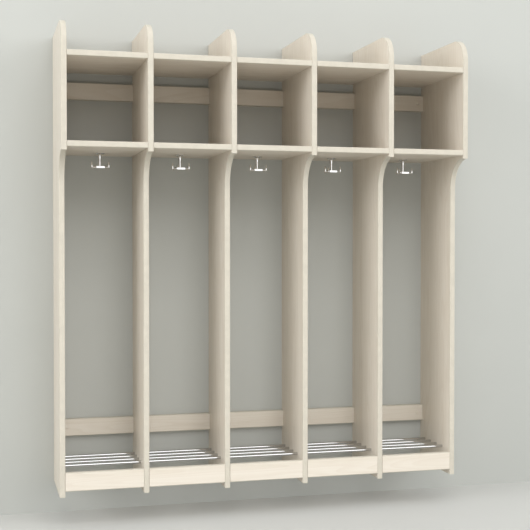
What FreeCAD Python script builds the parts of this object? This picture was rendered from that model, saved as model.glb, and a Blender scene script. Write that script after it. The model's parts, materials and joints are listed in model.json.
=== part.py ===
import FreeCAD, Part
import math
import os

# School cloakroom unit, hung on a wall: uprights, shelves and rails of board, a rack of shoe bars
# and a triple swivel hook in every bay.
# Sizes are in millimetres. Heights are above the foot of the uprights, depths are in front of the
# wall, and the front of the unit faces -Y. The bays are counted from the left.

# Driving dimensions of the carcass
BAY_COUNT = 5
BAY_PITCH = 280.0               # from one upright to the next
BOARD = 19.0                    # thickness of every board
LOWER_DEPTH = 266.0             # depth of an upright beside the coats
OVERHANG = 104.0                # how much further the hat cubbies stand out
HAT_SHELF_UNDERSIDE = 1153.0
CUBBY_HEIGHT = 272.0            # clear height between the hat shelf and the top shelf
CREST_HEIGHT = 105.0            # upright above the top shelf
CREST_RADIUS = 80.0             # round top corner of an upright
STEP_DROP = 11.0                # the deep part of an upright ends this far below the hat shelf
STEP_FLAT = 4.0                 # straight stretch under the deep part, before the cove starts

# Driving dimensions of the rails
BACK_RAIL_HEIGHT = 61.0
UPPER_RAIL_DROP = 34.5          # from the top shelf down to the upper back rail
LOWER_RAIL_BOTTOM = 160.0
FRONT_RAIL_HEIGHT = 63.0
FRONT_RAIL_BOTTOM = 18.5

# Driving dimensions of the glued joints
HOUSING_DEPTH = 5.0             # shelves and rails let into the uprights
SHELF_STOP = 25.0               # a shelf's housing ends this far behind its front
RAIL_STOP = 4.0                 # a front rail's housing ends this far behind its front
GLUE_LINE = 0.1                 # room for glue around a board in its housing

# Driving dimensions of the wall fixing
WALL_SCREW_HOLE = 6.5           # diameter
WALL_SCREW_INSET = 23.0         # from an end upright to the nearest screw

# Driving dimensions of the shoe rack
SHOE_BAR_COUNT = 4
SHOE_BAR_DIAMETER = 10.0
SHOE_BAR_LIFT = 11.0            # bar axis above the front rail
BACK_BAR_DEPTH = 44.0           # axis of the bar next to the wall
FRONT_BAR_SETBACK = 66.0        # axis of the foremost bar behind the front rail's face
BAR_SEAT_DEPTH = 12.0           # bar end sunk into an end upright
BAR_CLEARANCE = 0.2             # around a bar in its holes
BAR_END_PLAY = 0.4              # between a bar's end and the bottom of its seat

# Driving dimensions of the triple hooks
HOOK_DEPTH = 133.0              # hook axis in front of the wall
HOOK_DROP = 53.5                # lowest point of the hook below the hat shelf
HOOK_REACH = 37.0               # hook axis to the end of an arm
HORN_COUNT = 3
PLATE_FLAT = 25.0               # hook axis to a side of the plate
PLATE_THICKNESS = 8.0
ARM_WIDTH = 7.8
ARM_THICKNESS = 4.5
HORN_RISE = 15.5                # horn tip above the plate
HORN_ROOT = 7.8                 # width of a horn where it leaves its arm
HORN_TIP = 4.2                  # width of a horn at its tip
STEM_DIAMETER = 8.0
HEAD_DIAMETER = 12.0            # head that hangs inside the rosette
HEAD_HEIGHT = 4.0
ROSETTE_DIAMETER = 35.0
ROSETTE_HEIGHT = 20.0
NECK_WALL = 1.7                 # lower end of the rosette around the stem
NECK_LENGTH = 14.0              # straight part of the rosette below its flare
RUNNING_CLEARANCE = 0.08        # around the stem in the rosette's bore
HEAD_PLAY = 0.3                 # around the head in the rosette's recess

# Sizes that follow from the driving dimensions
UPPER_DEPTH = LOWER_DEPTH + OVERHANG
BAY_WIDTH = BAY_PITCH - BOARD
TOTAL_WIDTH = BAY_COUNT * BAY_PITCH + BOARD
TOP_SHELF_UNDERSIDE = HAT_SHELF_UNDERSIDE + BOARD + CUBBY_HEIGHT
UPRIGHT_HEIGHT = TOP_SHELF_UNDERSIDE + BOARD + CREST_HEIGHT
STEP_HEIGHT = HAT_SHELF_UNDERSIDE - STEP_DROP
COVE_RADIUS = OVERHANG - STEP_FLAT
UPPER_RAIL_BOTTOM = TOP_SHELF_UNDERSIDE - UPPER_RAIL_DROP - BACK_RAIL_HEIGHT
UPPER_SCREW_HEIGHT = UPPER_RAIL_BOTTOM + BACK_RAIL_HEIGHT / 2
LOWER_SCREW_HEIGHT = LOWER_RAIL_BOTTOM + BACK_RAIL_HEIGHT / 2
WALL_SCREW_SPAN = TOTAL_WIDTH - 2 * (BOARD + WALL_SCREW_INSET)
FRONT_RAIL_TOP = FRONT_RAIL_BOTTOM + FRONT_RAIL_HEIGHT
SHOE_BAR_HEIGHT = FRONT_RAIL_TOP + SHOE_BAR_LIFT
SHOE_BAR_STEP = (LOWER_DEPTH - FRONT_BAR_SETBACK - BACK_BAR_DEPTH) / (SHOE_BAR_COUNT - 1)
STEM_RADIUS = STEM_DIAMETER / 2
HEAD_RADIUS = HEAD_DIAMETER / 2
HOOK_BOTTOM = HAT_SHELF_UNDERSIDE - HOOK_DROP
PLATE_TOP = HOOK_BOTTOM + PLATE_THICKNESS
ARM_BOTTOM = HOOK_BOTTOM + (PLATE_THICKNESS - ARM_THICKNESS) / 2
ARM_TOP = ARM_BOTTOM + ARM_THICKNESS
HEAD_TOP = HAT_SHELF_UNDERSIDE - HEAD_PLAY
NECK_BOTTOM = HAT_SHELF_UNDERSIDE - ROSETTE_HEIGHT

# The origin is the centre of the four wall screws, on the wall
DATUM_HEIGHT = (UPPER_SCREW_HEIGHT + LOWER_SCREW_HEIGHT) / 2

# Boards that span a bay: back and front depth, bottom and top, and where the housing stops
BAY_BOARDS = {
    "top_shelf": (0.0, UPPER_DEPTH, TOP_SHELF_UNDERSIDE, TOP_SHELF_UNDERSIDE + BOARD, SHELF_STOP),
    "hat_shelf": (0.0, UPPER_DEPTH, HAT_SHELF_UNDERSIDE, HAT_SHELF_UNDERSIDE + BOARD, SHELF_STOP),
    "upper_back_rail": (0.0, BOARD, UPPER_RAIL_BOTTOM, UPPER_RAIL_BOTTOM + BACK_RAIL_HEIGHT, 0.0),
    "lower_back_rail": (0.0, BOARD, LOWER_RAIL_BOTTOM, LOWER_RAIL_BOTTOM + BACK_RAIL_HEIGHT, 0.0),
    "front_rail": (LOWER_DEPTH - BOARD, LOWER_DEPTH, FRONT_RAIL_BOTTOM, FRONT_RAIL_TOP, RAIL_STOP),
}

SAME_POINT = 1e-6               # ends of two edges that are nearer than this meet
ALONG_X = FreeCAD.Vector(1, 0, 0)
ALONG_Y = FreeCAD.Vector(0, 1, 0)
ALONG_Z = FreeCAD.Vector(0, 0, 1)


def side_point(depth, height):
    """Point in the plane of an upright's left face."""
    return FreeCAD.Vector(0, -depth, height)


def side_arc(depth, height, radius, start, end):
    """Arc about a centre in an upright's plane, between two angles counted from the front up."""
    points = []
    for angle in (start, (start + end) / 2, end):
        turn = math.radians(angle)
        points.append(side_point(depth + radius * math.cos(turn), height + radius * math.sin(turn)))
    return Part.Arc(*points).toShape()


def chain(pieces):
    """Closed face from arcs and loose points, joined by straight lines where they don't meet."""
    edges = []
    ends = [(p, p) if isinstance(p, FreeCAD.Vector) else (p.firstVertex().Point, p.lastVertex().Point)
            for p in pieces]
    for index, piece in enumerate(pieces):
        if not isinstance(piece, FreeCAD.Vector):
            edges.append(piece)
        here = ends[index][1]
        there = ends[(index + 1) % len(ends)][0]
        if not here.isEqual(there, SAME_POINT):
            edges.append(Part.LineSegment(here, there).toShape())
    return Part.Face(Part.Wire(edges))


def upright_side():
    """Side of an upright: round crest, deep part beside the cubby, cove, and slim lower part."""
    crest = side_arc(UPPER_DEPTH - CREST_RADIUS, UPRIGHT_HEIGHT - CREST_RADIUS, CREST_RADIUS, 90, 0)
    cove = side_arc(LOWER_DEPTH + COVE_RADIUS, STEP_HEIGHT - COVE_RADIUS, COVE_RADIUS, 90, 180)
    return chain([
        side_point(0, 0),
        side_point(0, UPRIGHT_HEIGHT),
        crest,
        side_point(UPPER_DEPTH, STEP_HEIGHT),
        cove,
        side_point(LOWER_DEPTH, 0),
    ])


def block(back, front, bottom, top, width, room=0.0):
    """Box about a bay's middle, with room around it."""
    corner = FreeCAD.Vector(-width / 2 - room, -front - room, bottom - room)
    return Part.makeBox(width + 2 * room, front - back + 2 * room, top - bottom + 2 * room, corner)


def housed(board, room=0.0):
    """The stretch of a bay's board that is let into the uprights at both ends."""
    back, front, bottom, top, stop = board
    return block(back, front - stop, bottom, top, BAY_WIDTH + 2 * HOUSING_DEPTH, room)


def bay_board(board):
    """Shelf or rail about its bay's middle: a stopped front butts against the uprights."""
    back, front, bottom, top, stop = board
    return block(back, front, bottom, top, BAY_WIDTH).fuse(housed(board)).removeSplitter()


def shoe_bar_axis(index):
    """Depth of a shoe bar's axis, counted from the wall."""
    return BACK_BAR_DEPTH + index * SHOE_BAR_STEP


def rod(diameter, length, depth, start):
    """Cylinder across the unit at the shoe bars' height."""
    centre = FreeCAD.Vector(start, -depth, SHOE_BAR_HEIGHT)
    return Part.makeCylinder(diameter / 2, length, centre, ALONG_X)


def bar_length():
    """Length of a shoe bar, from seat to seat."""
    return TOTAL_WIDTH - 2 * (BOARD - BAR_SEAT_DEPTH + BAR_END_PLAY)


def shoe_bar(index):
    """Chromed bar that runs through all the bays."""
    length = bar_length()
    return rod(SHOE_BAR_DIAMETER, length, shoe_bar_axis(index), -length / 2)


def shoe_bar_holes():
    """Room for all the bars, as long as their seats are apart."""
    length = bar_length() + 2 * BAR_END_PLAY
    diameter = SHOE_BAR_DIAMETER + 2 * BAR_CLEARANCE
    return [rod(diameter, length, shoe_bar_axis(i), -length / 2) for i in range(SHOE_BAR_COUNT)]


def bay_middle(bay):
    """X of a bay's middle."""
    return (bay - (BAY_COUNT - 1) / 2) * BAY_PITCH


def upright_left(index):
    """X of an upright's left face."""
    return index * BAY_PITCH - TOTAL_WIDTH / 2


def upright(index, housings, holes):
    """Board of one upright, cut for the shelves, rails and bars of the bays beside it."""
    board = upright_side().extrude(ALONG_X * BOARD)
    board.translate(ALONG_X * upright_left(index))
    for bay in (index - 1, index):
        if 0 <= bay < BAY_COUNT:
            board = board.cut([housing.translated(ALONG_X * bay_middle(bay)) for housing in housings])
    return board.cut(holes)


def wall_screw_hole(x, height):
    """Hole through a back rail."""
    return Part.makeCylinder(WALL_SCREW_HOLE / 2, BOARD, FreeCAD.Vector(x, -BOARD, height), ALONG_Y)


def turned(points):
    """Solid turned about Z from its (radius, height) points."""
    return chain([FreeCAD.Vector(radius, 0, height) for radius, height in points]).revolve(
        FreeCAD.Vector(), ALONG_Z, 360)


def rosette():
    """Trumpet-shaped rosette under the hat shelf, with a bore for the stem and a recess for its head."""
    bore = STEM_RADIUS + RUNNING_CLEARANCE
    recess = HEAD_RADIUS + HEAD_PLAY
    recess_floor = HEAD_TOP - HEAD_HEIGHT - HEAD_PLAY
    neck = bore + NECK_WALL
    return turned([
        (recess, HAT_SHELF_UNDERSIDE),
        (recess, recess_floor),
        (bore, recess_floor),
        (bore, NECK_BOTTOM),
        (neck, NECK_BOTTOM),
        (neck, NECK_BOTTOM + NECK_LENGTH),
        (ROSETTE_DIAMETER / 2, HAT_SHELF_UNDERSIDE),
    ])


def polar(radius, degrees, height):
    """Point at a radius and heading about the hook's axis."""
    turn = math.radians(degrees)
    return FreeCAD.Vector(radius * math.cos(turn), radius * math.sin(turn), height)


def horn_headings():
    """Headings of the horns: one points at the wall, the others share the rest of the turn."""
    return [90 + index * 360 / HORN_COUNT for index in range(HORN_COUNT)]


def hook_plate():
    """Plate of the triple hook: one side below each horn and one between each two."""
    half = 90 / HORN_COUNT
    corner = PLATE_FLAT / math.cos(math.radians(half))
    corners = [polar(corner, heading + side * half, HOOK_BOTTOM)
               for heading in horn_headings() for side in (-1, 1)]
    return chain(corners).extrude(ALONG_Z * PLATE_THICKNESS)


def horn(heading):
    """Arm out of the plate's side, and the upturned horn on it that tapers to its tip."""
    arm = Part.makeBox(HOOK_REACH, ARM_WIDTH, ARM_THICKNESS, FreeCAD.Vector(0, -ARM_WIDTH / 2, ARM_BOTTOM))
    arm.rotate(FreeCAD.Vector(), ALONG_Z, heading)
    taper = Part.makeWedge(-HORN_ROOT / 2, 0, 0, 0, -HORN_TIP / 2,
                           HORN_ROOT / 2, PLATE_TOP + HORN_RISE - ARM_TOP, HORN_ROOT, HORN_TIP, HORN_TIP / 2)
    taper.rotate(FreeCAD.Vector(), ALONG_X, 90)
    taper.rotate(FreeCAD.Vector(), ALONG_Z, heading - 90)
    return arm.fuse(taper.translated(polar(HOOK_REACH, heading, ARM_TOP)))


def stem():
    """Stem of the triple hook, with the head that hangs in the rosette."""
    return turned([
        (0, PLATE_TOP),
        (STEM_RADIUS, PLATE_TOP),
        (STEM_RADIUS, HEAD_TOP - HEAD_HEIGHT),
        (HEAD_RADIUS, HEAD_TOP - HEAD_HEIGHT),
        (HEAD_RADIUS, HEAD_TOP),
        (0, HEAD_TOP),
    ])


def triple_hook():
    """Hook about its own axis: plate, horns and stem in one casting."""
    parts = [stem()] + [horn(heading) for heading in horn_headings()]
    return hook_plate().fuse(parts).removeSplitter()


def save(node, shape):
    """Write one node, with the unit's origin moved to the centre of the wall screws."""
    shape.translated(ALONG_Z * -DATUM_HEIGHT).exportStep(os.path.join("parts", node + ".step"))


def save_uprights():
    """End uprights and dividers."""
    housings = [housed(board, GLUE_LINE) for board in BAY_BOARDS.values()]
    holes = shoe_bar_holes()
    for index in range(BAY_COUNT + 1):
        name = {0: "end_panel_left", BAY_COUNT: "end_panel_right"}.get(index, f"divider_panel_{index}")
        save(name, upright(index, housings, holes))


def save_bay_boards():
    """Shelves and rails of every bay, with wall screw holes in the back rails of the outer bays."""
    holes = [wall_screw_hole(side * WALL_SCREW_SPAN / 2, height)
             for side in (-1, 1) for height in (LOWER_SCREW_HEIGHT, UPPER_SCREW_HEIGHT)]
    for name, board in BAY_BOARDS.items():
        for bay in range(BAY_COUNT):
            piece = bay_board(board).translated(ALONG_X * bay_middle(bay))
            if "back_rail" in name and bay in (0, BAY_COUNT - 1):
                piece = piece.cut(holes)
            save(f"{name}_{bay + 1}", piece)


def save_hooks():
    """Triple hook of every bay, and the rosettes that they hang in as one group."""
    rosettes = []
    for bay in range(BAY_COUNT):
        place = FreeCAD.Vector(bay_middle(bay), -HOOK_DEPTH, 0)
        save(f"triple_hook_{bay + 1}", triple_hook().translated(place))
        rosettes.append(rosette().translated(place))
    save("hook_rosettes", Part.makeCompound(rosettes))


os.makedirs("parts", exist_ok=True)
save_uprights()
save_bay_boards()
save_hooks()
for bar in range(SHOE_BAR_COUNT):
    save(f"shoe_bar_{bar + 1}", shoe_bar(bar))
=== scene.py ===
import json
import math

import bmesh
import bpy
from bpy.props import FloatProperty, FloatVectorProperty, PointerProperty
from bpy.types import Operator, Panel, PropertyGroup
from mathutils import Matrix, Vector

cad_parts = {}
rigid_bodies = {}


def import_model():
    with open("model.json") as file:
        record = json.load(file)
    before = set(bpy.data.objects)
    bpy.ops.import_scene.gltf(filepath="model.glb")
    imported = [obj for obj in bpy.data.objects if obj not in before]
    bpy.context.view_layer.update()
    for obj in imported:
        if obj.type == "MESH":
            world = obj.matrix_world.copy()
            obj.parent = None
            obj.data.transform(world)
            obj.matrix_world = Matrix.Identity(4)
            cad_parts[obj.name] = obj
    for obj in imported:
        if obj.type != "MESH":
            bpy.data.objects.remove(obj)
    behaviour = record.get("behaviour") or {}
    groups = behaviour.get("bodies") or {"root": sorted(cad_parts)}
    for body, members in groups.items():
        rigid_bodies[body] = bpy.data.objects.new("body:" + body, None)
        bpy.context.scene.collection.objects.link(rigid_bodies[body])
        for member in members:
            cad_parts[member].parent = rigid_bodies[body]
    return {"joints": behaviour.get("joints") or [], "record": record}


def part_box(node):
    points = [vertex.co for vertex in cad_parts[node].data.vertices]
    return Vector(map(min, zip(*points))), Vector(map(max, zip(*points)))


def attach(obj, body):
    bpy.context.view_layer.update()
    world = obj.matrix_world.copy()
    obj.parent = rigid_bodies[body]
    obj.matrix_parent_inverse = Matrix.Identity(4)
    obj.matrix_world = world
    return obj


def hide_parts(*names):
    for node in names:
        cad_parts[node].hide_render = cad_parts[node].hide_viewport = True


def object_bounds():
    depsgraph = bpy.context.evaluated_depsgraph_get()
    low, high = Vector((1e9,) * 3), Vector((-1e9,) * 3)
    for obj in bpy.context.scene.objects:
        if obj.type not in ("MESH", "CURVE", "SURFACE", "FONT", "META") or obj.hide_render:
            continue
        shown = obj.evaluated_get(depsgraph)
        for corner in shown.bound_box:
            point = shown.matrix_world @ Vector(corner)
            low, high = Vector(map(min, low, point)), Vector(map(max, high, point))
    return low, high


bl_info = {
    "name": "School Cloakroom Unit",
    "version": (1, 0, 0),
    "blender": (4, 5, 0),
    "location": "3D View > Sidebar > Cloakroom",
    "description": "Dresses the cloakroom unit: edged boards, chromed bars and triple swivel hooks",
    "category": "Object",
}

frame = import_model()
CAD_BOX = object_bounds()
START_OBJECTS = ("Cube", "Light", "Camera")

BAYS = range(1, 6)
UPRIGHTS = ["end_panel_left"] + [f"divider_panel_{i}" for i in range(1, 5)] + ["end_panel_right"]
BARS = [f"shoe_bar_{i}" for i in range(1, 5)]
CARCASS = "carcass"

MM_PER_M = 1000
QUARTER_TURN = math.pi / 2
UP = Vector((0, 0, 1))
TOUCH = 1e-5                        # points that are nearer than this are the same
DECIMALS = 5                        # of a metre, by which places on an outline are told apart
SHARP_ANGLE = math.radians(34)      # sharper edges than this stay crisp in the shading

FRONT = (1, -1)                     # axis and side that an edging strip faces
TOP = (2, 1)
UNDERSIDE = (2, -1)
CAP_EDGE = 25                       # degrees at which the dome of a screw cap starts

PLATE_SIDES = 6
HORNS = 3
ARM_SWELL = 0.7                     # arm's end at its horn, as a share of the horn's root
FOOT_DEPTH = 0.85                   # a horn's foot, as a share of a half ball
SPIKE_TAPER = 3.0                   # 1 is a straight cone, and more is a fuller spike
FLARE_POWER = 6                     # the higher, the later the rosette's flare starts
SCREW_PLACE = 0.72                  # rosette's axis to a screw, as a share of the rosette's radius
SCREW_DROP = 2.6                    # screw heads below the shelf, in thicknesses of the rosette's rim
SCREW_FLATNESS = 0.45               # height of a screw head, as a share of a ball's

STAGE_HALF = 7.0                    # half the side of the floor and of the wall
WALL_GAP = 0.0005                   # wall behind the unit's back
MIDDLE = (0, 0, 0)                  # middle of the wall screws, which most lights face
LIGHT_TINT = (0.985, 0.995, 1.01)
SKY_TINT = (0.98, 0.993, 1.0)
SOFT_LIGHTS = {                     # side of each soft light, and its place
    "front": (4.5, (0, -5.9, 4.6)),
    "side": (4.0, (-7.0, -3.0, 2.0)),
    "fill": (5.0, (6.0, -5.5, 3.0)),
    "top": (5.0, (0, -3.0, 6.5)),
}
BOUNCE_SIZE = 1.5
BOUNCE_PLACE = (-0.1, -1.5, 0.015)  # its height is above the floor
BOUNCE_TARGET = (0, -0.1, 0.35)
GLINT_SIZE = 7.0
GLINT_PLACE = (1.5, -7.0, 3.6)      # its height is above the floor
BACK_SIZE = 3.0
BACK_PLACE = (0, 3.0, 0)
BACK_SPREAD = math.radians(2)


def length(name, description, default):
    """A size in metres that a user may change."""
    return FloatProperty(name=name, description=description, default=default,
                         unit="LENGTH", precision=4)


def colour(name, description, default):
    """A colour that a user may change."""
    return FloatVectorProperty(name=name, description=description, default=default,
                               subtype="COLOR", size=3, min=0, max=1)


def amount(name, description, default):
    """A plain number that a user may change."""
    return FloatProperty(name=name, description=description, default=default, min=0)


def degrees(name, description, default):
    """An angle that a user may change."""
    return FloatProperty(name=name, description=description, default=math.radians(default),
                         subtype="ANGLE")


class BoardSettings(PropertyGroup):
    """Sizes and finish of the boards and their edging."""

    crest_radius: length("Crest radius", "Round top corner of an upright", 0.080)
    step_drop: length("Step drop", "Deep part of an upright below the hat shelf", 0.011)
    step_flat: length("Step flat", "Straight stretch before the cove starts", 0.004)
    edging: length("Edging", "Thickness of the edging strips", 0.003)
    edge_radius: length("Edge radius", "Rounding of the edging strips", 0.0027)
    cap_diameter: length("Cap diameter", "Diameter of the caps over the wall screw holes", 0.013)
    cap_height: length("Cap height", "Height of the caps over the wall screw holes", 0.0016)
    board_pale: colour("Board pale", "Pale wood between the grain", (0.660, 0.604, 0.520))
    board_grain: colour("Board grain", "Wood in the grain", (0.543, 0.464, 0.368))
    edging_colour: colour("Edging colour", "Cream edging strips", (0.516, 0.475, 0.396))


class MetalSettings(PropertyGroup):
    """Sizes and finish of the chromed bars, hooks and rosettes."""

    plate_flat: length("Plate flat", "Hook axis to a side of the six-sided plate", 0.025)
    plate_thickness: length("Plate thickness", "Thickness of a hook's plate", 0.008)
    plate_rounding: length("Plate rounding", "Rounding of the plate's rim", 0.0012)
    arm_reach: length("Arm reach", "Hook axis to the outer side of a horn", 0.037)
    arm_diameter: length("Arm diameter", "Diameter of the rod between plate and horn", 0.0030)
    horn_root: length("Horn root", "Diameter of a horn beside its arm", 0.0070)
    horn_tip: length("Horn tip", "Diameter of a horn at its tip", 0.0026)
    horn_rise: length("Horn rise", "Height of a horn above the plate", 0.0155)
    stem_diameter: length("Stem diameter", "Thickness of a hook's stem", 0.008)
    stem_fillet: length("Stem fillet", "Fillet between stem and plate", 0.002)
    head_diameter: length("Head diameter", "Head of a hook, which hangs inside the rosette", 0.012)
    head_height: length("Head height", "Height of a hook's head", 0.004)
    head_play: length("Head play", "Room around a hook's head in the rosette's recess", 0.0003)
    running_clearance: length("Running clearance", "Room around a stem in the rosette's bore", 0.00008)
    neck_wall: length("Neck wall", "Lower end of the rosette around the stem", 0.0009)
    neck_taper: length("Neck taper", "How much the rosette's neck widens below its flare", 0.0012)
    rosette_rim: length("Rosette rim", "Thickness of the rosette's rim at the shelf", 0.0012)
    screw_head: length("Screw head", "Diameter of the rosette's screw heads", 0.0052)
    bar_chamfer: length("Bar chamfer", "Chamfer at the ends of a shoe bar", 0.001)
    bar_chrome: colour("Bar chrome", "Chrome of the shoe bars", (0.565, 0.562, 0.555))
    hook_chrome: colour("Hook chrome", "Chrome of the hooks and rosettes", (0.80, 0.796, 0.786))


class StageSettings(PropertyGroup):
    """Camera, light, wall and floor around the unit."""

    foot_height: length("Foot height", "Foot of the uprights above the floor", 0.110)
    wall_colour: colour("Wall colour", "Plain wall behind the unit", (0.449, 0.454, 0.425))
    floor_colour: colour("Floor colour", "Plain pale floor", (0.511, 0.510, 0.486))
    sky: amount("Sky", "Strength of the even light from all round", 0.725)
    front_power: amount("Front power", "Power of the soft light above the camera", 180.0)
    side_power: amount("Side power", "Power of the soft light at the left", 312.0)
    fill_power: amount("Fill power", "Power of the soft light at the right", 295.0)
    top_power: amount("Top power", "Power of the soft light overhead", 112.0)
    bounce_power: amount("Bounce power", "Power of the faint light from the floor in front", 9.0)
    bar_glint: amount("Bar glint", "Power of the soft light that only the bars mirror", 355.0)
    hook_glint: amount("Hook glint", "Power of the soft light that hooks and rosettes mirror", 165.0)
    back_power: amount("Back power", "Power of the light behind the unit", 14.0)
    camera_side: length("Camera side", "Camera beside the unit's middle", -0.9699)
    camera_distance: length("Camera distance", "Camera in front of the wall", 3.8301)
    camera_height: length("Camera height", "Camera above the wall screws' middle", 0.0523)
    camera_heading: degrees("Camera heading", "Turn of the camera to the right", 15.07)
    camera_pitch: degrees("Camera pitch", "Tilt of the camera downwards", 1.03)
    lens: amount("Lens", "Focal length in millimetres on a 36 mm sensor", 72.4)
    shift: amount("Shift", "Offset of the picture's middle, as a share of its width", 1 / 530)


class Shade:
    """An output in a material's node tree. Sums and products with it become Math nodes."""

    def __init__(self, tree, socket=None):
        self.tree = tree
        self.socket = socket

    def node(self, kind, settings=None, inputs=None, output=0):
        """Adds a node: its settings are set first, then its sockets' values or links."""
        made = self.tree.nodes.new(kind)
        for key, value in (settings or {}).items():
            setattr(made, key, value)
        for key, value in (inputs or {}).items():
            if isinstance(value, Shade):
                self.tree.links.new(value.socket, made.inputs[key])
            else:
                made.inputs[key].default_value = value
        return Shade(self.tree, made.outputs[output])

    def math(self, operation, first, second):
        """Math node on two values."""
        return self.node("ShaderNodeMath", {"operation": operation}, {0: first, 1: second})

    def __add__(self, other):
        return self.math("ADD", self, other)

    def __radd__(self, other):
        return self.math("ADD", other, self)

    def __sub__(self, other):
        return self.math("SUBTRACT", self, other)

    def __rsub__(self, other):
        return self.math("SUBTRACT", other, self)

    def __mul__(self, other):
        return self.math("MULTIPLY", self, other)

    def __rmul__(self, other):
        return self.math("MULTIPLY", other, self)

    def __mod__(self, other):
        return self.math("FLOORED_MODULO", self, other)

    def between(self, low, high):
        """Smooth step of this value from 0 at low to 1 at high."""
        return self.node("ShaderNodeMapRange", {"interpolation_type": "SMOOTHSTEP"},
                         {"Value": self, "From Min": low, "From Max": high})

    def mix(self, low, high):
        """Colour between two colours by this value."""
        return self.node("ShaderNodeMix", {"data_type": "RGBA"}, {0: self, 6: low, 7: high}, 2)

    def mottled(self, rgb, low=1.03, high=0.95):
        """Colour that goes from one share of its tone to another by this value."""
        tone = Vector(rgb)
        return self.mix(opaque(tone * low), opaque(tone * high))

    def noise(self, scale, detail=2.0, roughness=0.5, distortion=0.0):
        """Noise at this place."""
        return self.node("ShaderNodeTexNoise", {},
                         {"Vector": self, "Scale": scale, "Detail": detail,
                          "Roughness": roughness, "Distortion": distortion})

    def drawn(self, along, share):
        """This place, with patterns on it drawn out along one axis."""
        scale = tuple(share if axis == along else 1.0 for axis in "XYZ")
        return self.node("ShaderNodeMapping", {"vector_type": "POINT"},
                         {"Vector": self, "Scale": scale})

    def bump(self, strength, distance):
        """Bump by this height."""
        return self.node("ShaderNodeBump", {},
                         {"Strength": strength, "Distance": distance, "Height": self})


def opaque(rgb):
    """Colour of a socket from three numbers."""
    return (*rgb, 1.0)


def new_material(name):
    """Empty material with one shader; returns it, its places and its shader node."""
    material = bpy.data.materials.new(name)
    material.use_nodes = True
    tree = material.node_tree
    shader = tree.nodes["Principled BSDF"]
    place = Shade(tree).node("ShaderNodeTexCoord", output="Object")
    return material, place, shader


def feed(shader, **values):
    """Set or link the shader's sockets, named with underscores for spaces."""
    for key, value in values.items():
        socket = shader.inputs[key.replace("_", " ").title().replace("Ior", "IOR")]
        if isinstance(value, Shade):
            value.tree.links.new(value.socket, socket)
        else:
            socket.default_value = value


def board_material(name, along):
    """Pale birch decor: streaks, growth lines, fibres and pores along one axis."""
    if name in bpy.data.materials:
        return bpy.data.materials[name]
    settings = bpy.context.scene.cloakroom_boards
    material, place, shader = new_material(name)
    broad = place.drawn(along, 0.05).noise(26.0, detail=3.0, roughness=0.55, distortion=0.3)
    field = place.drawn(along, 0.09).noise(9.0, roughness=0.45, distortion=0.4)
    line = (field * 22.0) % 1.0
    growth = line.between(0.25, 0.95) * (1 - line.between(0.95, 1.0))
    fibre = place.drawn(along, 0.02).noise(900.0, detail=3.0, roughness=0.6)
    pores = place.drawn(along, 0.035).noise(1500.0, detail=1.0).between(0.66, 0.74)
    grain = (growth * 0.21
             + broad.between(0.38, 0.72) * 0.22
             + fibre.between(0.35, 0.7) * 0.17
             + pores * 0.10)
    height = fibre * 0.7 - pores * 0.5
    feed(shader,
         base_color=grain.mix(opaque(settings.board_pale), opaque(settings.board_grain)),
         roughness=fibre * 0.14 + growth * 0.05 + 0.36,
         normal=height.bump(strength=0.12, distance=0.0003),
         coat_weight=0.12,
         coat_roughness=0.25)
    return material


def edging_material():
    """Cream plastic edging with a faint mottle and rub marks."""
    name = "cream_edging"
    if name in bpy.data.materials:
        return bpy.data.materials[name]
    settings = bpy.context.scene.cloakroom_boards
    material, place, shader = new_material(name)
    mottle = place.noise(35.0, detail=4.0, roughness=0.6)
    rub = place.noise(260.0, detail=3.0, roughness=0.65)
    peel = place.noise(1400.0)
    feed(shader,
         base_color=mottle.between(0.3, 0.75).mottled(settings.edging_colour),
         roughness=rub * 0.16 + 0.26,
         normal=peel.bump(strength=0.06, distance=0.0002),
         coat_weight=0.10,
         coat_roughness=0.2)
    return material


def chrome_material(name, rgb, along):
    """Polished chrome with faint smudges, and wiping marks along one axis."""
    if name in bpy.data.materials:
        return bpy.data.materials[name]
    material, place, shader = new_material(name)
    haze = place.noise(70.0, detail=4.0, roughness=0.6).between(0.45, 0.8)
    wipe = place.drawn(along, 0.04).noise(2200.0)
    feed(shader,
         base_color=haze.mottled(rgb),
         roughness=haze * 0.05 + wipe * 0.04 + 0.03,
         metallic=1.0)
    return material


def one_sided_material(name, rgb):
    """Matt paint on the side that faces the unit, and nothing on the other side."""
    material, place, shader = new_material(name)
    cloud = place.noise(1.3, detail=4.0, roughness=0.55).between(0.3, 0.7)
    feed(shader,
         base_color=cloud.mottled(rgb, 0.985, 1.015),
         roughness=0.85,
         specular_ior_level=0.15)
    back = place.node("ShaderNodeNewGeometry", output="Backfacing")
    clear = place.node("ShaderNodeBsdfTransparent")
    paint = Shade(place.tree, shader.outputs["BSDF"])
    mixed = place.node("ShaderNodeMixShader", {}, {0: back, 1: paint, 2: clear})
    place.tree.links.new(mixed.socket, place.tree.nodes["Material Output"].inputs["Surface"])
    return material


def new_object(name, bm, material):
    """Object from a bmesh, with smooth shading between its crisp edges."""
    bmesh.ops.recalc_face_normals(bm, faces=bm.faces)
    mesh = bpy.data.meshes.new(name)
    bm.to_mesh(mesh)
    bm.free()
    mesh.shade_smooth()
    mesh.set_sharp_from_angle(angle=SHARP_ANGLE)
    mesh.materials.append(material)
    made = bpy.data.objects.new(name, mesh)
    bpy.context.scene.collection.objects.link(made)
    made.modifiers.new("flat_faces", "WEIGHTED_NORMAL").keep_sharp = True
    return made


def new_piece(name, bm, material, body, slot, *nodes):
    """Piece that rides on a body and stands for the nodes named, which it hides; the slot is not used.
    """
    piece = new_object(name, bm, material)
    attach(piece, body)
    if nodes:
        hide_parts(*nodes)


def add_to(bm, part):
    """Add a part's mesh to a bmesh."""
    mesh = bpy.data.meshes.new("part")
    part.to_mesh(mesh)
    part.free()
    bm.from_mesh(mesh)
    bpy.data.meshes.remove(mesh)


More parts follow.
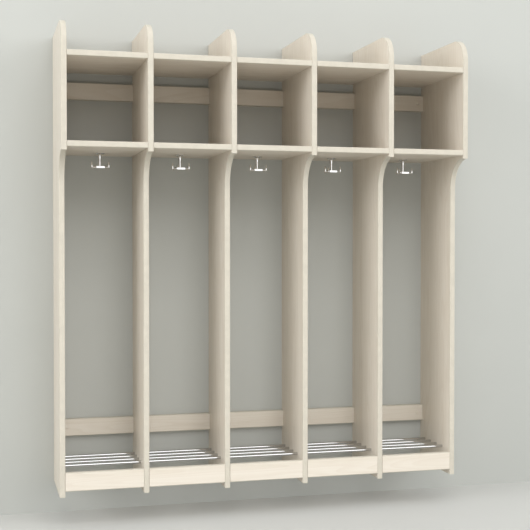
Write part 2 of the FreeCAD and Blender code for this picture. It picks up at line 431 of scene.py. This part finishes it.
def round_edges(bm, edges, radius, segments):
    """Round edges to a radius."""
    bmesh.ops.bevel(bm, geom=list(edges), offset=radius, offset_type="OFFSET", segments=segments,
                    profile=0.5, affect="EDGES", material=-1)


def round_corner(bm, corner, radius, segments):
    """Round one corner of a flat outline."""
    bmesh.ops.bevel(bm, geom=[corner], offset=radius, offset_type="ABSOLUTE", segments=segments,
                    profile=0.5, affect="VERTICES", material=-1)


def thicken(bm, offset):
    """Draw a flat outline out by an offset."""
    made = bmesh.ops.extrude_face_region(bm, geom=bm.faces[:])["geom"]
    moved = [item for item in made if isinstance(item, bmesh.types.BMVert)]
    bmesh.ops.translate(bm, vec=offset, verts=moved)


def turn(bm, angle, axis):
    """Turn a whole bmesh about an axis through the origin."""
    bmesh.ops.rotate(bm, cent=Vector(), matrix=Matrix.Rotation(angle, 3, axis), verts=bm.verts)


def level_edges(bm):
    """Edges whose ends are at one height."""
    return [edge for edge in bm.edges if abs(edge.verts[0].co.z - edge.verts[1].co.z) < TOUCH]


def block(bm, low, high):
    """Box between two corners."""
    made = bmesh.ops.create_cube(bm, size=1.0)["verts"]
    bmesh.ops.scale(bm, vec=high - low, verts=made)
    bmesh.ops.translate(bm, vec=(low + high) / 2, verts=made)
    return made


def spun(bm, profile, axis, closed=False, steps=48):
    """Turn a (radius, height) profile about an upright axis."""
    points = [bm.verts.new((axis.x + radius, axis.y, height)) for radius, height in profile]
    pairs = list(zip(points, points[1:])) + ([(points[-1], points[0])] if closed else [])
    edges = [bm.edges.new(pair) for pair in pairs]
    bmesh.ops.spin(bm, geom=points + edges, cent=axis, axis=UP, angle=math.tau, steps=steps,
                   use_merge=True)
    bmesh.ops.remove_doubles(bm, verts=bm.verts, dist=TOUCH)


def shares(steps):
    """Even steps from 0 to 1."""
    return [step / steps for step in range(steps + 1)]


def arc(centre, radius, start, end, steps):
    """Points of a profile's arc between two angles in degrees."""
    points = []
    for step in range(steps + 1):
        angle = math.radians(start + (end - start) * step / steps)
        points.append((centre[0] + radius * math.cos(angle), centre[1] + radius * math.sin(angle)))
    return points


def bay_span(bay):
    """X of the faces of the two uprights beside a bay."""
    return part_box(UPRIGHTS[bay - 1])[1].x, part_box(UPRIGHTS[bay])[0].x


def wall_holes():
    """Middles of the wall screws' holes, and their radius, from the mount in the record."""
    dims = frame["record"]["mounts"][0]["dims"]
    x = dims["spacing_x_mm"] / MM_PER_M / 2
    z = dims["spacing_y_mm"] / MM_PER_M / 2
    middles = [Vector((side * x, 0, row * z)) for side in (-1, 1) for row in (-1, 1)]
    return middles, dims["hole_r_mm"] / MM_PER_M


def drilled_block(bm, low, high):
    """Box between two corners, with the wall screws' holes that fall in it."""
    places = [(low.x, low.z), (high.x, low.z), (high.x, high.z), (low.x, high.z)]
    corners = [bm.verts.new((x, low.y, z)) for x, z in places]
    outline = [bm.edges.new(pair) for pair in zip(corners, corners[1:] + corners[:1])]
    middles, radius = wall_holes()
    for middle in middles:
        if low.x < middle.x < high.x and low.z < middle.z < high.z:
            place = Matrix.Translation((middle.x, low.y, middle.z))
            upright = Matrix.Rotation(QUARTER_TURN, 4, "X")
            rim = bmesh.ops.create_circle(bm, segments=32, radius=radius,
                                          matrix=place @ upright)["verts"]
            outline += {edge for vert in rim for edge in vert.link_edges}
    bmesh.ops.triangle_fill(bm, use_beauty=True, edges=outline)
    thicken(bm, Vector((0, high.y - low.y, 0)))


def strip(bm, low, high, facing, radius):
    """Edging strip along X with its outer edges rounded; facing is the axis and side of those."""
    axis, side = facing
    made = block(bm, low, high)
    outer = (high if side > 0 else low)[axis]
    rim = {edge for vert in made for edge in vert.link_edges
           if abs(edge.verts[0].co.x - edge.verts[1].co.x) > TOUCH
           and all(abs(end.co[axis] - outer) < TOUCH for end in edge.verts)}
    round_edges(bm, rim, radius, segments=4)


def banded_board(node, bay, facings, material, slot):
    """Board that spans a bay, with an edging strip for each axis and side named."""
    settings = bpy.context.scene.cloakroom_boards
    low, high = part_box(node)
    low.x, high.x = bay_span(bay)
    strips = bmesh.new()
    for axis, side in facings:
        strip_low, strip_high = low.copy(), high.copy()
        if side > 0:
            high[axis] -= settings.edging
            strip_low[axis] = high[axis]
        else:
            low[axis] += settings.edging
            strip_high[axis] = low[axis]
        strip(strips, strip_low, strip_high, (axis, side), settings.edge_radius)
    core = bmesh.new()
    drilled_block(core, low, high)
    new_piece(f"{node}_board", core, material, CARCASS, slot, node)
    new_piece(f"{node}_edging", strips, edging_material(), CARCASS, slot)


def upright_outline(node):
    """Flat outline of an upright on its left face, with round crest and cove."""
    settings = bpy.context.scene.cloakroom_boards
    low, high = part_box(node)
    lower_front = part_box("front_rail_1")[0].y
    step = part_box("hat_shelf_1")[0].z - settings.step_drop
    bm = bmesh.new()
    places = [(high.y, low.z), (high.y, high.z), (low.y, high.z), (low.y, step),
              (lower_front, step), (lower_front, low.z)]
    corners = [bm.verts.new((low.x, y, z)) for y, z in places]
    bm.faces.new(corners)
    crest, cove = corners[2], corners[4]
    round_corner(bm, crest, settings.crest_radius, segments=20)
    round_corner(bm, cove, lower_front - low.y - settings.step_flat, segments=24)
    return bm


def split_outline(node, keep_edging):
    """Outline of an upright's board without its edging, or of the edging alone."""
    settings = bpy.context.scene.cloakroom_boards
    bm = upright_outline(node)
    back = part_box(node)[1].y
    ring = bmesh.ops.inset_region(bm, faces=bm.faces[:], thickness=settings.edging,
                                  use_even_offset=True, use_boundary=True)["faces"]
    bare = [face for face in ring
            if sum(abs(vert.co.y - back) < TOUCH for vert in face.verts) == 2]
    edging = set(ring) - set(bare)
    drop = [face for face in bm.faces if (face in edging) != keep_edging]
    bmesh.ops.delete(bm, geom=drop, context="FACES")
    if not keep_edging:
        bmesh.ops.dissolve_faces(bm, faces=bm.faces[:])
    return bm


def side_place(vert):
    """Place of a point, seen from the side."""
    return round(vert.co.y, DECIMALS), round(vert.co.z, DECIMALS)


def outline_places(node):
    """Places of the points on an upright's outline."""
    bm = upright_outline(node)
    places = {side_place(vert) for vert in bm.verts}
    bm.free()
    return places


def upright_edging(node):
    """Edging strip over the top, crest, front, cove, lower front and foot of an upright."""
    settings = bpy.context.scene.cloakroom_boards
    low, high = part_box(node)
    outer = outline_places(node)
    bm = split_outline(node, keep_edging=True)
    thicken(bm, Vector((high.x - low.x, 0, 0)))
    rim = [edge for edge in bm.edges
           if abs(edge.verts[0].co.x - edge.verts[1].co.x) < TOUCH
           and all(side_place(end) in outer for end in edge.verts)]
    round_edges(bm, rim, settings.edge_radius, segments=4)
    return bm


class CLOAKROOM_OT_uprights(Operator):
    """Make the uprights with their edging"""

    bl_idname = "cloakroom.uprights"
    bl_label = "Uprights"

    def execute(self, context):
        material = board_material("birch_upright", "Z")
        slot = "upright_board"
        for node in UPRIGHTS:
            low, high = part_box(node)
            board = split_outline(node, keep_edging=False)
            thicken(board, Vector((high.x - low.x, 0, 0)))
            new_piece(f"{node}_board", board, material, CARCASS, slot, node)
            new_piece(f"{node}_edging", upright_edging(node), edging_material(), CARCASS, slot)
        return {"FINISHED"}


class CLOAKROOM_OT_shelves(Operator):
    """Make the top shelves and hat shelves, edged along their fronts"""

    bl_idname = "cloakroom.shelves"
    bl_label = "Shelves"

    def execute(self, context):
        material = board_material("birch_shelf", "X")
        for bay in BAYS:
            for row in ("top_shelf", "hat_shelf"):
                banded_board(f"{row}_{bay}", bay, [FRONT], material, "shelf_board")
        return {"FINISHED"}


def wall_screw_caps():
    """Low domes over the wall screw holes, on the fronts of the back rails."""
    settings = bpy.context.scene.cloakroom_boards
    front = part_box("upper_back_rail_1")[0].y
    radius, height = settings.cap_diameter / 2, settings.cap_height
    dome = arc((0, 0), 1, start=CAP_EDGE, end=90, steps=6)
    profile = [(0, 0), (radius, 0)] + [(radius * x, height * z) for x, z in dome]
    middles, _ = wall_holes()
    caps = bmesh.new()
    for middle in middles:
        cap = bmesh.new()
        spun(cap, profile, Vector(), steps=32)
        turn(cap, QUARTER_TURN, "X")
        bmesh.ops.translate(cap, vec=Vector((middle.x, front, middle.z)), verts=cap.verts)
        add_to(caps, cap)
    return caps


class CLOAKROOM_OT_rails(Operator):
    """Make the back and front rails, edged along their tops and undersides, and the screw caps"""

    bl_idname = "cloakroom.rails"
    bl_label = "Rails"

    def execute(self, context):
        material = board_material("birch_rail", "X")
        slot = "rail_board"
        for bay in BAYS:
            for row in ("upper_back_rail", "lower_back_rail", "front_rail"):
                banded_board(f"{row}_{bay}", bay, [TOP, UNDERSIDE], material, slot)
        new_piece("wall_screw_caps", wall_screw_caps(), material, CARCASS, slot)
        return {"FINISHED"}


class CLOAKROOM_OT_shoe_bars(Operator):
    """Make the chromed bars of the shoe rack"""

    bl_idname = "cloakroom.shoe_bars"
    bl_label = "Shoe bars"

    def execute(self, context):
        settings = context.scene.cloakroom_metal
        slot = "bar_chrome"
        material = chrome_material("chrome_bar", settings.bar_chrome, "X")
        for node in BARS:
            low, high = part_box(node)
            radius = (high.z - low.z) / 2
            bm = bmesh.new()
            bmesh.ops.create_cone(bm, cap_ends=True, segments=64, radius1=radius, radius2=radius,
                                  depth=high.x - low.x)
            round_edges(bm, level_edges(bm), settings.bar_chamfer, segments=2)
            turn(bm, QUARTER_TURN, "Y")
            bmesh.ops.translate(bm, vec=(low + high) / 2, verts=bm.verts)
            new_piece(f"{node}_chromed", bm, material, CARCASS, slot, node)
        return {"FINISHED"}


def hook_axis(bay):
    """Point on a hook's upright axis, at height zero."""
    x, y, _ = frame["joints"][bay - 1]["pos_m"]
    return Vector((x, y, 0))


def soft_slab(bm, corners, corner_radius, thickness, rim_radius):
    """Slab on an outline, with its corners and rims rounded."""
    bm.faces.new(corners)
    for corner in corners:
        round_corner(bm, corner, corner_radius, segments=5)
    thicken(bm, UP * thickness)
    round_edges(bm, level_edges(bm), rim_radius, segments=3)


def hook_plate(bm, axis, low):
    """Six-sided plate of a hook, with soft corners and rim."""
    settings = bpy.context.scene.cloakroom_metal
    corner = Vector((settings.plate_flat / math.cos(math.pi / PLATE_SIDES), 0, 0))
    places = [Matrix.Rotation(math.tau * side / PLATE_SIDES, 3, "Z") @ corner
              for side in range(PLATE_SIDES)]
    corners = [bm.verts.new(Vector((axis.x, axis.y, low)) + place) for place in places]
    soft_slab(bm, corners, settings.plate_rounding, settings.plate_thickness, settings.plate_rounding)


def hook_shaft(axis, low, high):
    """Stem of a hook from inside its plate, with a fillet and the head that hangs in the rosette."""
    settings = bpy.context.scene.cloakroom_metal
    stem, fillet = settings.stem_diameter / 2, settings.stem_fillet
    head, head_low = settings.head_diameter / 2, high - settings.head_height
    plate_top = low + settings.plate_thickness
    sunk = plate_top - settings.plate_rounding
    foot = arc((stem + fillet, plate_top + fillet), fillet, start=270, end=180, steps=5)
    top = [(stem, head_low), (head, head_low), (head, high), (0, high)]
    shaft = bmesh.new()
    spun(shaft, [(0, sunk), (stem + fillet, sunk)] + foot + top, axis)
    return shaft


def horn_headings():
    """Headings of the horns about a hook's axis: one at the wall, two to the front."""
    return [math.radians(90 + 360 / HORNS * index) for index in range(HORNS)]


def arm_profile(span):
    """Profile of an arm along its length: a thin rod that swells where it meets its horn."""
    settings = bpy.context.scene.cloakroom_metal
    rod, root = settings.arm_diameter / 2, settings.horn_root / 2
    swell = root * ARM_SWELL - rod
    end = arc((rod + swell, span - root - swell), swell, start=180, end=90, steps=6)
    return [(0, 0), (rod, 0)] + end + [(rod + swell, span), (0, span)]


def horn_profile(middle, top):
    """Profile of a horn: a dished foot, a spike that tapers above its arm, and a domed tip."""
    settings = bpy.context.scene.cloakroom_metal
    root, tip = settings.horn_root / 2, settings.horn_tip / 2
    foot = [(radius, middle + drop * FOOT_DEPTH)
            for radius, drop in arc((0, 0), root, start=-90, end=0, steps=8)]
    spike = [(root + (tip - root) * share ** SPIKE_TAPER, middle + (top - tip - middle) * share)
             for share in shares(12)]
    dome = arc((0, top - tip), tip, start=0, end=90, steps=5)
    return foot + spike[1:] + dome[1:]


def horn(axis, low, heading):
    """One horn of a hook on its arm out of the plate."""
    settings = bpy.context.scene.cloakroom_metal
    start = settings.plate_flat - settings.plate_rounding * 2
    reach = settings.arm_reach - settings.horn_root / 2
    middle = low + settings.plate_thickness / 2
    top = low + settings.plate_thickness + settings.horn_rise
    part = bmesh.new()
    spun(part, arm_profile(reach - start), Vector(), steps=24)
    place = Matrix.Translation((start, 0, middle)) @ Matrix.Rotation(QUARTER_TURN, 4, "Y")
    bmesh.ops.transform(part, matrix=place, verts=part.verts)
    spike = bmesh.new()
    spun(spike, horn_profile(middle, top), Vector((reach, 0, 0)), steps=32)
    add_to(part, spike)
    turn(part, heading, "Z")
    bmesh.ops.translate(part, vec=axis, verts=part.verts)
    return part


class CLOAKROOM_OT_hooks(Operator):
    """Make the triple swivel hooks"""

    bl_idname = "cloakroom.hooks"
    bl_label = "Triple hooks"

    def execute(self, context):
        settings = context.scene.cloakroom_metal
        slot = "hook_chrome"
        material = chrome_material("chrome_hook", settings.hook_chrome, "Z")
        for bay in BAYS:
            node = f"triple_hook_{bay}"
            low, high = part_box(node)
            axis = hook_axis(bay)
            bm = bmesh.new()
            hook_plate(bm, axis, low.z)
            add_to(bm, hook_shaft(axis, low.z, high.z))
            for heading in horn_headings():
                add_to(bm, horn(axis, low.z, heading))
            new_piece(f"{node}_cast", bm, material, f"hook_{bay}", slot, node)
        return {"FINISHED"}


def rosette_profile(low, shelf, rim):
    """Closed profile of a rosette: bore, widening neck, trumpet flare, rim and the head's recess."""
    settings = bpy.context.scene.cloakroom_metal
    stem = settings.stem_diameter / 2
    bore = stem + settings.running_clearance
    recess = settings.head_diameter / 2 + settings.head_play
    recess_floor = shelf - settings.head_height - settings.head_play * 2
    neck, taper = stem + settings.neck_wall, settings.neck_taper
    flare = rim - neck - taper
    rise = shelf - settings.rosette_rim - low
    outside = [(neck + taper * share + flare * share ** FLARE_POWER, low + rise * share)
               for share in shares(24)]
    inside = [(recess, shelf), (recess, recess_floor), (bore, recess_floor)]
    return [(bore, low)] + outside + [(rim, shelf)] + inside


class CLOAKROOM_OT_rosettes(Operator):
    """Make the trumpet-shaped rosettes and their screws"""

    bl_idname = "cloakroom.rosettes"
    bl_label = "Rosettes"

    def execute(self, context):
        settings = context.scene.cloakroom_metal
        slot = "hook_chrome"
        material = chrome_material("chrome_hook", settings.hook_chrome, "Z")
        low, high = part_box("hook_rosettes")
        rim = (high.y - low.y) / 2
        screw_height = high.z - settings.rosette_rim * SCREW_DROP
        rosettes = bmesh.new()
        screws = bmesh.new()
        for bay in BAYS:
            axis = hook_axis(bay)
            part = bmesh.new()
            spun(part, rosette_profile(low.z, high.z, rim), axis, closed=True)
            add_to(rosettes, part)
            for side in (-1, 1):
                head = bmesh.ops.create_uvsphere(screws, u_segments=20, v_segments=12,
                                                 radius=settings.screw_head / 2)["verts"]
                bmesh.ops.scale(screws, vec=Vector((1, 1, SCREW_FLATNESS)), verts=head)
                place = Vector((axis.x + side * rim * SCREW_PLACE, axis.y, screw_height))
                bmesh.ops.translate(screws, vec=place, verts=head)
        new_piece("hook_rosettes_turned", rosettes, material, CARCASS, slot, "hook_rosettes")
        new_piece("rosette_screws", screws, material, CARCASS, slot)
        return {"FINISHED"}


def stage_plane(name, matrix, material):
    """Large flat plane of the stage."""
    bm = bmesh.new()
    bmesh.ops.create_grid(bm, x_segments=1, y_segments=1, size=STAGE_HALF, matrix=matrix)
    mesh = bpy.data.meshes.new(name)
    bm.to_mesh(mesh)
    bm.free()
    mesh.materials.append(material)
    plane = bpy.data.objects.new(name, mesh)
    bpy.context.scene.collection.objects.link(plane)


def floor_and_wall(settings, floor):
    """Floor below the unit, and the wall that it hangs on."""
    stage_plane("stage_floor", Matrix.Translation((0, 0, floor)),
                one_sided_material("floor_paint", settings.floor_colour))
    back = CAD_BOX[1][1]
    place = Matrix.Translation((0, back + WALL_GAP, floor + STAGE_HALF))
    stage_plane("stage_wall", place @ Matrix.Rotation(QUARTER_TURN, 4, "X"),
                one_sided_material("wall_paint", settings.wall_colour))


def even_sky(settings):
    """Even light from all round."""
    world = bpy.data.worlds.new("studio")
    world.use_nodes = True
    sky = world.node_tree.nodes["Background"]
    sky.inputs["Color"].default_value = opaque(SKY_TINT)
    sky.inputs["Strength"].default_value = settings.sky
    bpy.context.scene.world = world


def area_light(name, power, size, place, target, spread=math.pi):
    """Square soft light that faces a target and isn't mirrored in the chrome; returns its object."""
    data = bpy.data.lights.new(name, "AREA")
    data.energy = power
    data.color = LIGHT_TINT
    data.size = size
    data.spread = spread
    light = bpy.data.objects.new(name, data)
    light.visible_glossy = False
    light.location = place
    light.rotation_euler = (Vector(target) - Vector(place)).to_track_quat("-Z", "Y").to_euler()
    bpy.context.scene.collection.objects.link(light)
    return light


def light_list(name, state, starts):
    """Collection of the objects that a light reaches or leaves out, by the starts of their names."""
    made = bpy.data.collections.new(name)
    for item in bpy.data.objects:
        if item.name.startswith(starts):
            made.objects.link(item)
    for link in made.collection_objects:
        link.light_linking.link_state = state
    return made


def soft_lights(settings, floor):
    """Soft lights around the unit, and a faint one from the floor in front of it."""
    for name, power in (("front", settings.front_power), ("side", settings.side_power),
                        ("fill", settings.fill_power), ("top", settings.top_power)):
        size, place = SOFT_LIGHTS[name]
        area_light(name, power, size, place, MIDDLE)
    x, y, height = BOUNCE_PLACE
    bounce = area_light("bounce", settings.bounce_power, BOUNCE_SIZE, (x, y, floor + height),
                        BOUNCE_TARGET)
    bounce.visible_camera = False


def chrome_lights(settings, floor):
    """Soft lights in front of the unit that only the chrome mirrors."""
    x, y, height = GLINT_PLACE
    place, target = (x, y, floor + height), (x, 0, floor + height)
    for name, power, starts in (("bar_glint", settings.bar_glint, ("shoe_bar",)),
                                ("hook_glint", settings.hook_glint, ("triple_hook", "hook_rosettes"))):
        glint = area_light(name, power, GLINT_SIZE, place, target)
        glint.visible_glossy = True
        glint.light_linking.receiver_collection = light_list(name, "INCLUDE", starts)


def back_light(settings):
    """Narrow light from behind, which passes the wall and is kept off what shows in front."""
    back = area_light("back", settings.back_power, BACK_SIZE, BACK_PLACE, MIDDLE, BACK_SPREAD)
    back.light_linking.blocker_collection = light_list(
        "passed_by_back_light", "EXCLUDE", ("stage_wall",))
    back.light_linking.receiver_collection = light_list(
        "dark_to_back_light", "EXCLUDE", ("front_rail", "shoe_bar", "triple_hook"))


def photo_camera(settings):
    """Camera at the photograph's viewing angle."""
    data = bpy.data.cameras.new("camera")
    data.lens = settings.lens
    data.shift_x = settings.shift
    data.shift_y = -settings.shift
    camera = bpy.data.objects.new("camera", data)
    camera.location = (settings.camera_side, -settings.camera_distance, settings.camera_height)
    camera.rotation_euler = (QUARTER_TURN - settings.camera_pitch, 0, -settings.camera_heading)
    bpy.context.scene.collection.objects.link(camera)
    bpy.context.scene.camera = camera


class CLOAKROOM_OT_stage(Operator):
    """Make the floor, wall, lights and camera"""

    bl_idname = "cloakroom.stage"
    bl_label = "Stage"

    def execute(self, context):
        settings = context.scene.cloakroom_stage
        foot = CAD_BOX[0][2]
        floor = foot - settings.foot_height
        floor_and_wall(settings, floor)
        even_sky(settings)
        soft_lights(settings, floor)
        chrome_lights(settings, floor)
        back_light(settings)
        photo_camera(settings)
        context.scene.view_settings.view_transform = "Standard"
        return {"FINISHED"}


class CLOAKROOM_PT_parts(Panel):
    """Sidebar list of the unit's pieces"""

    bl_idname = "CLOAKROOM_PT_parts"
    bl_label = "Cloakroom unit"
    bl_space_type = "VIEW_3D"
    bl_region_type = "UI"
    bl_category = "Cloakroom"

    def draw(self, context):
        for operator in OPERATORS:
            self.layout.operator(operator.bl_idname)


GROUPS = {"cloakroom_boards": BoardSettings, "cloakroom_metal": MetalSettings,
          "cloakroom_stage": StageSettings}
OPERATORS = [CLOAKROOM_OT_uprights, CLOAKROOM_OT_shelves, CLOAKROOM_OT_rails, CLOAKROOM_OT_shoe_bars,
             CLOAKROOM_OT_hooks, CLOAKROOM_OT_rosettes, CLOAKROOM_OT_stage]
CLASSES = [*GROUPS.values(), *OPERATORS, CLOAKROOM_PT_parts]


def register():
    for cls in CLASSES:
        bpy.utils.register_class(cls)
    for name, group in GROUPS.items():
        setattr(bpy.types.Scene, name, PointerProperty(type=group))


def unregister():
    for name in GROUPS:
        delattr(bpy.types.Scene, name)
    for cls in reversed(CLASSES):
        bpy.utils.unregister_class(cls)


def main():
    """Make every piece and the stage."""
    for name in START_OBJECTS:
        if name in bpy.data.objects:
            bpy.data.objects.remove(bpy.data.objects[name])
    register()
    bpy.ops.cloakroom.uprights()
    bpy.ops.cloakroom.shelves()
    bpy.ops.cloakroom.rails()
    bpy.ops.cloakroom.shoe_bars()
    bpy.ops.cloakroom.hooks()
    bpy.ops.cloakroom.rosettes()
    bpy.ops.cloakroom.stage()


if __name__ == "__main__":
    main()
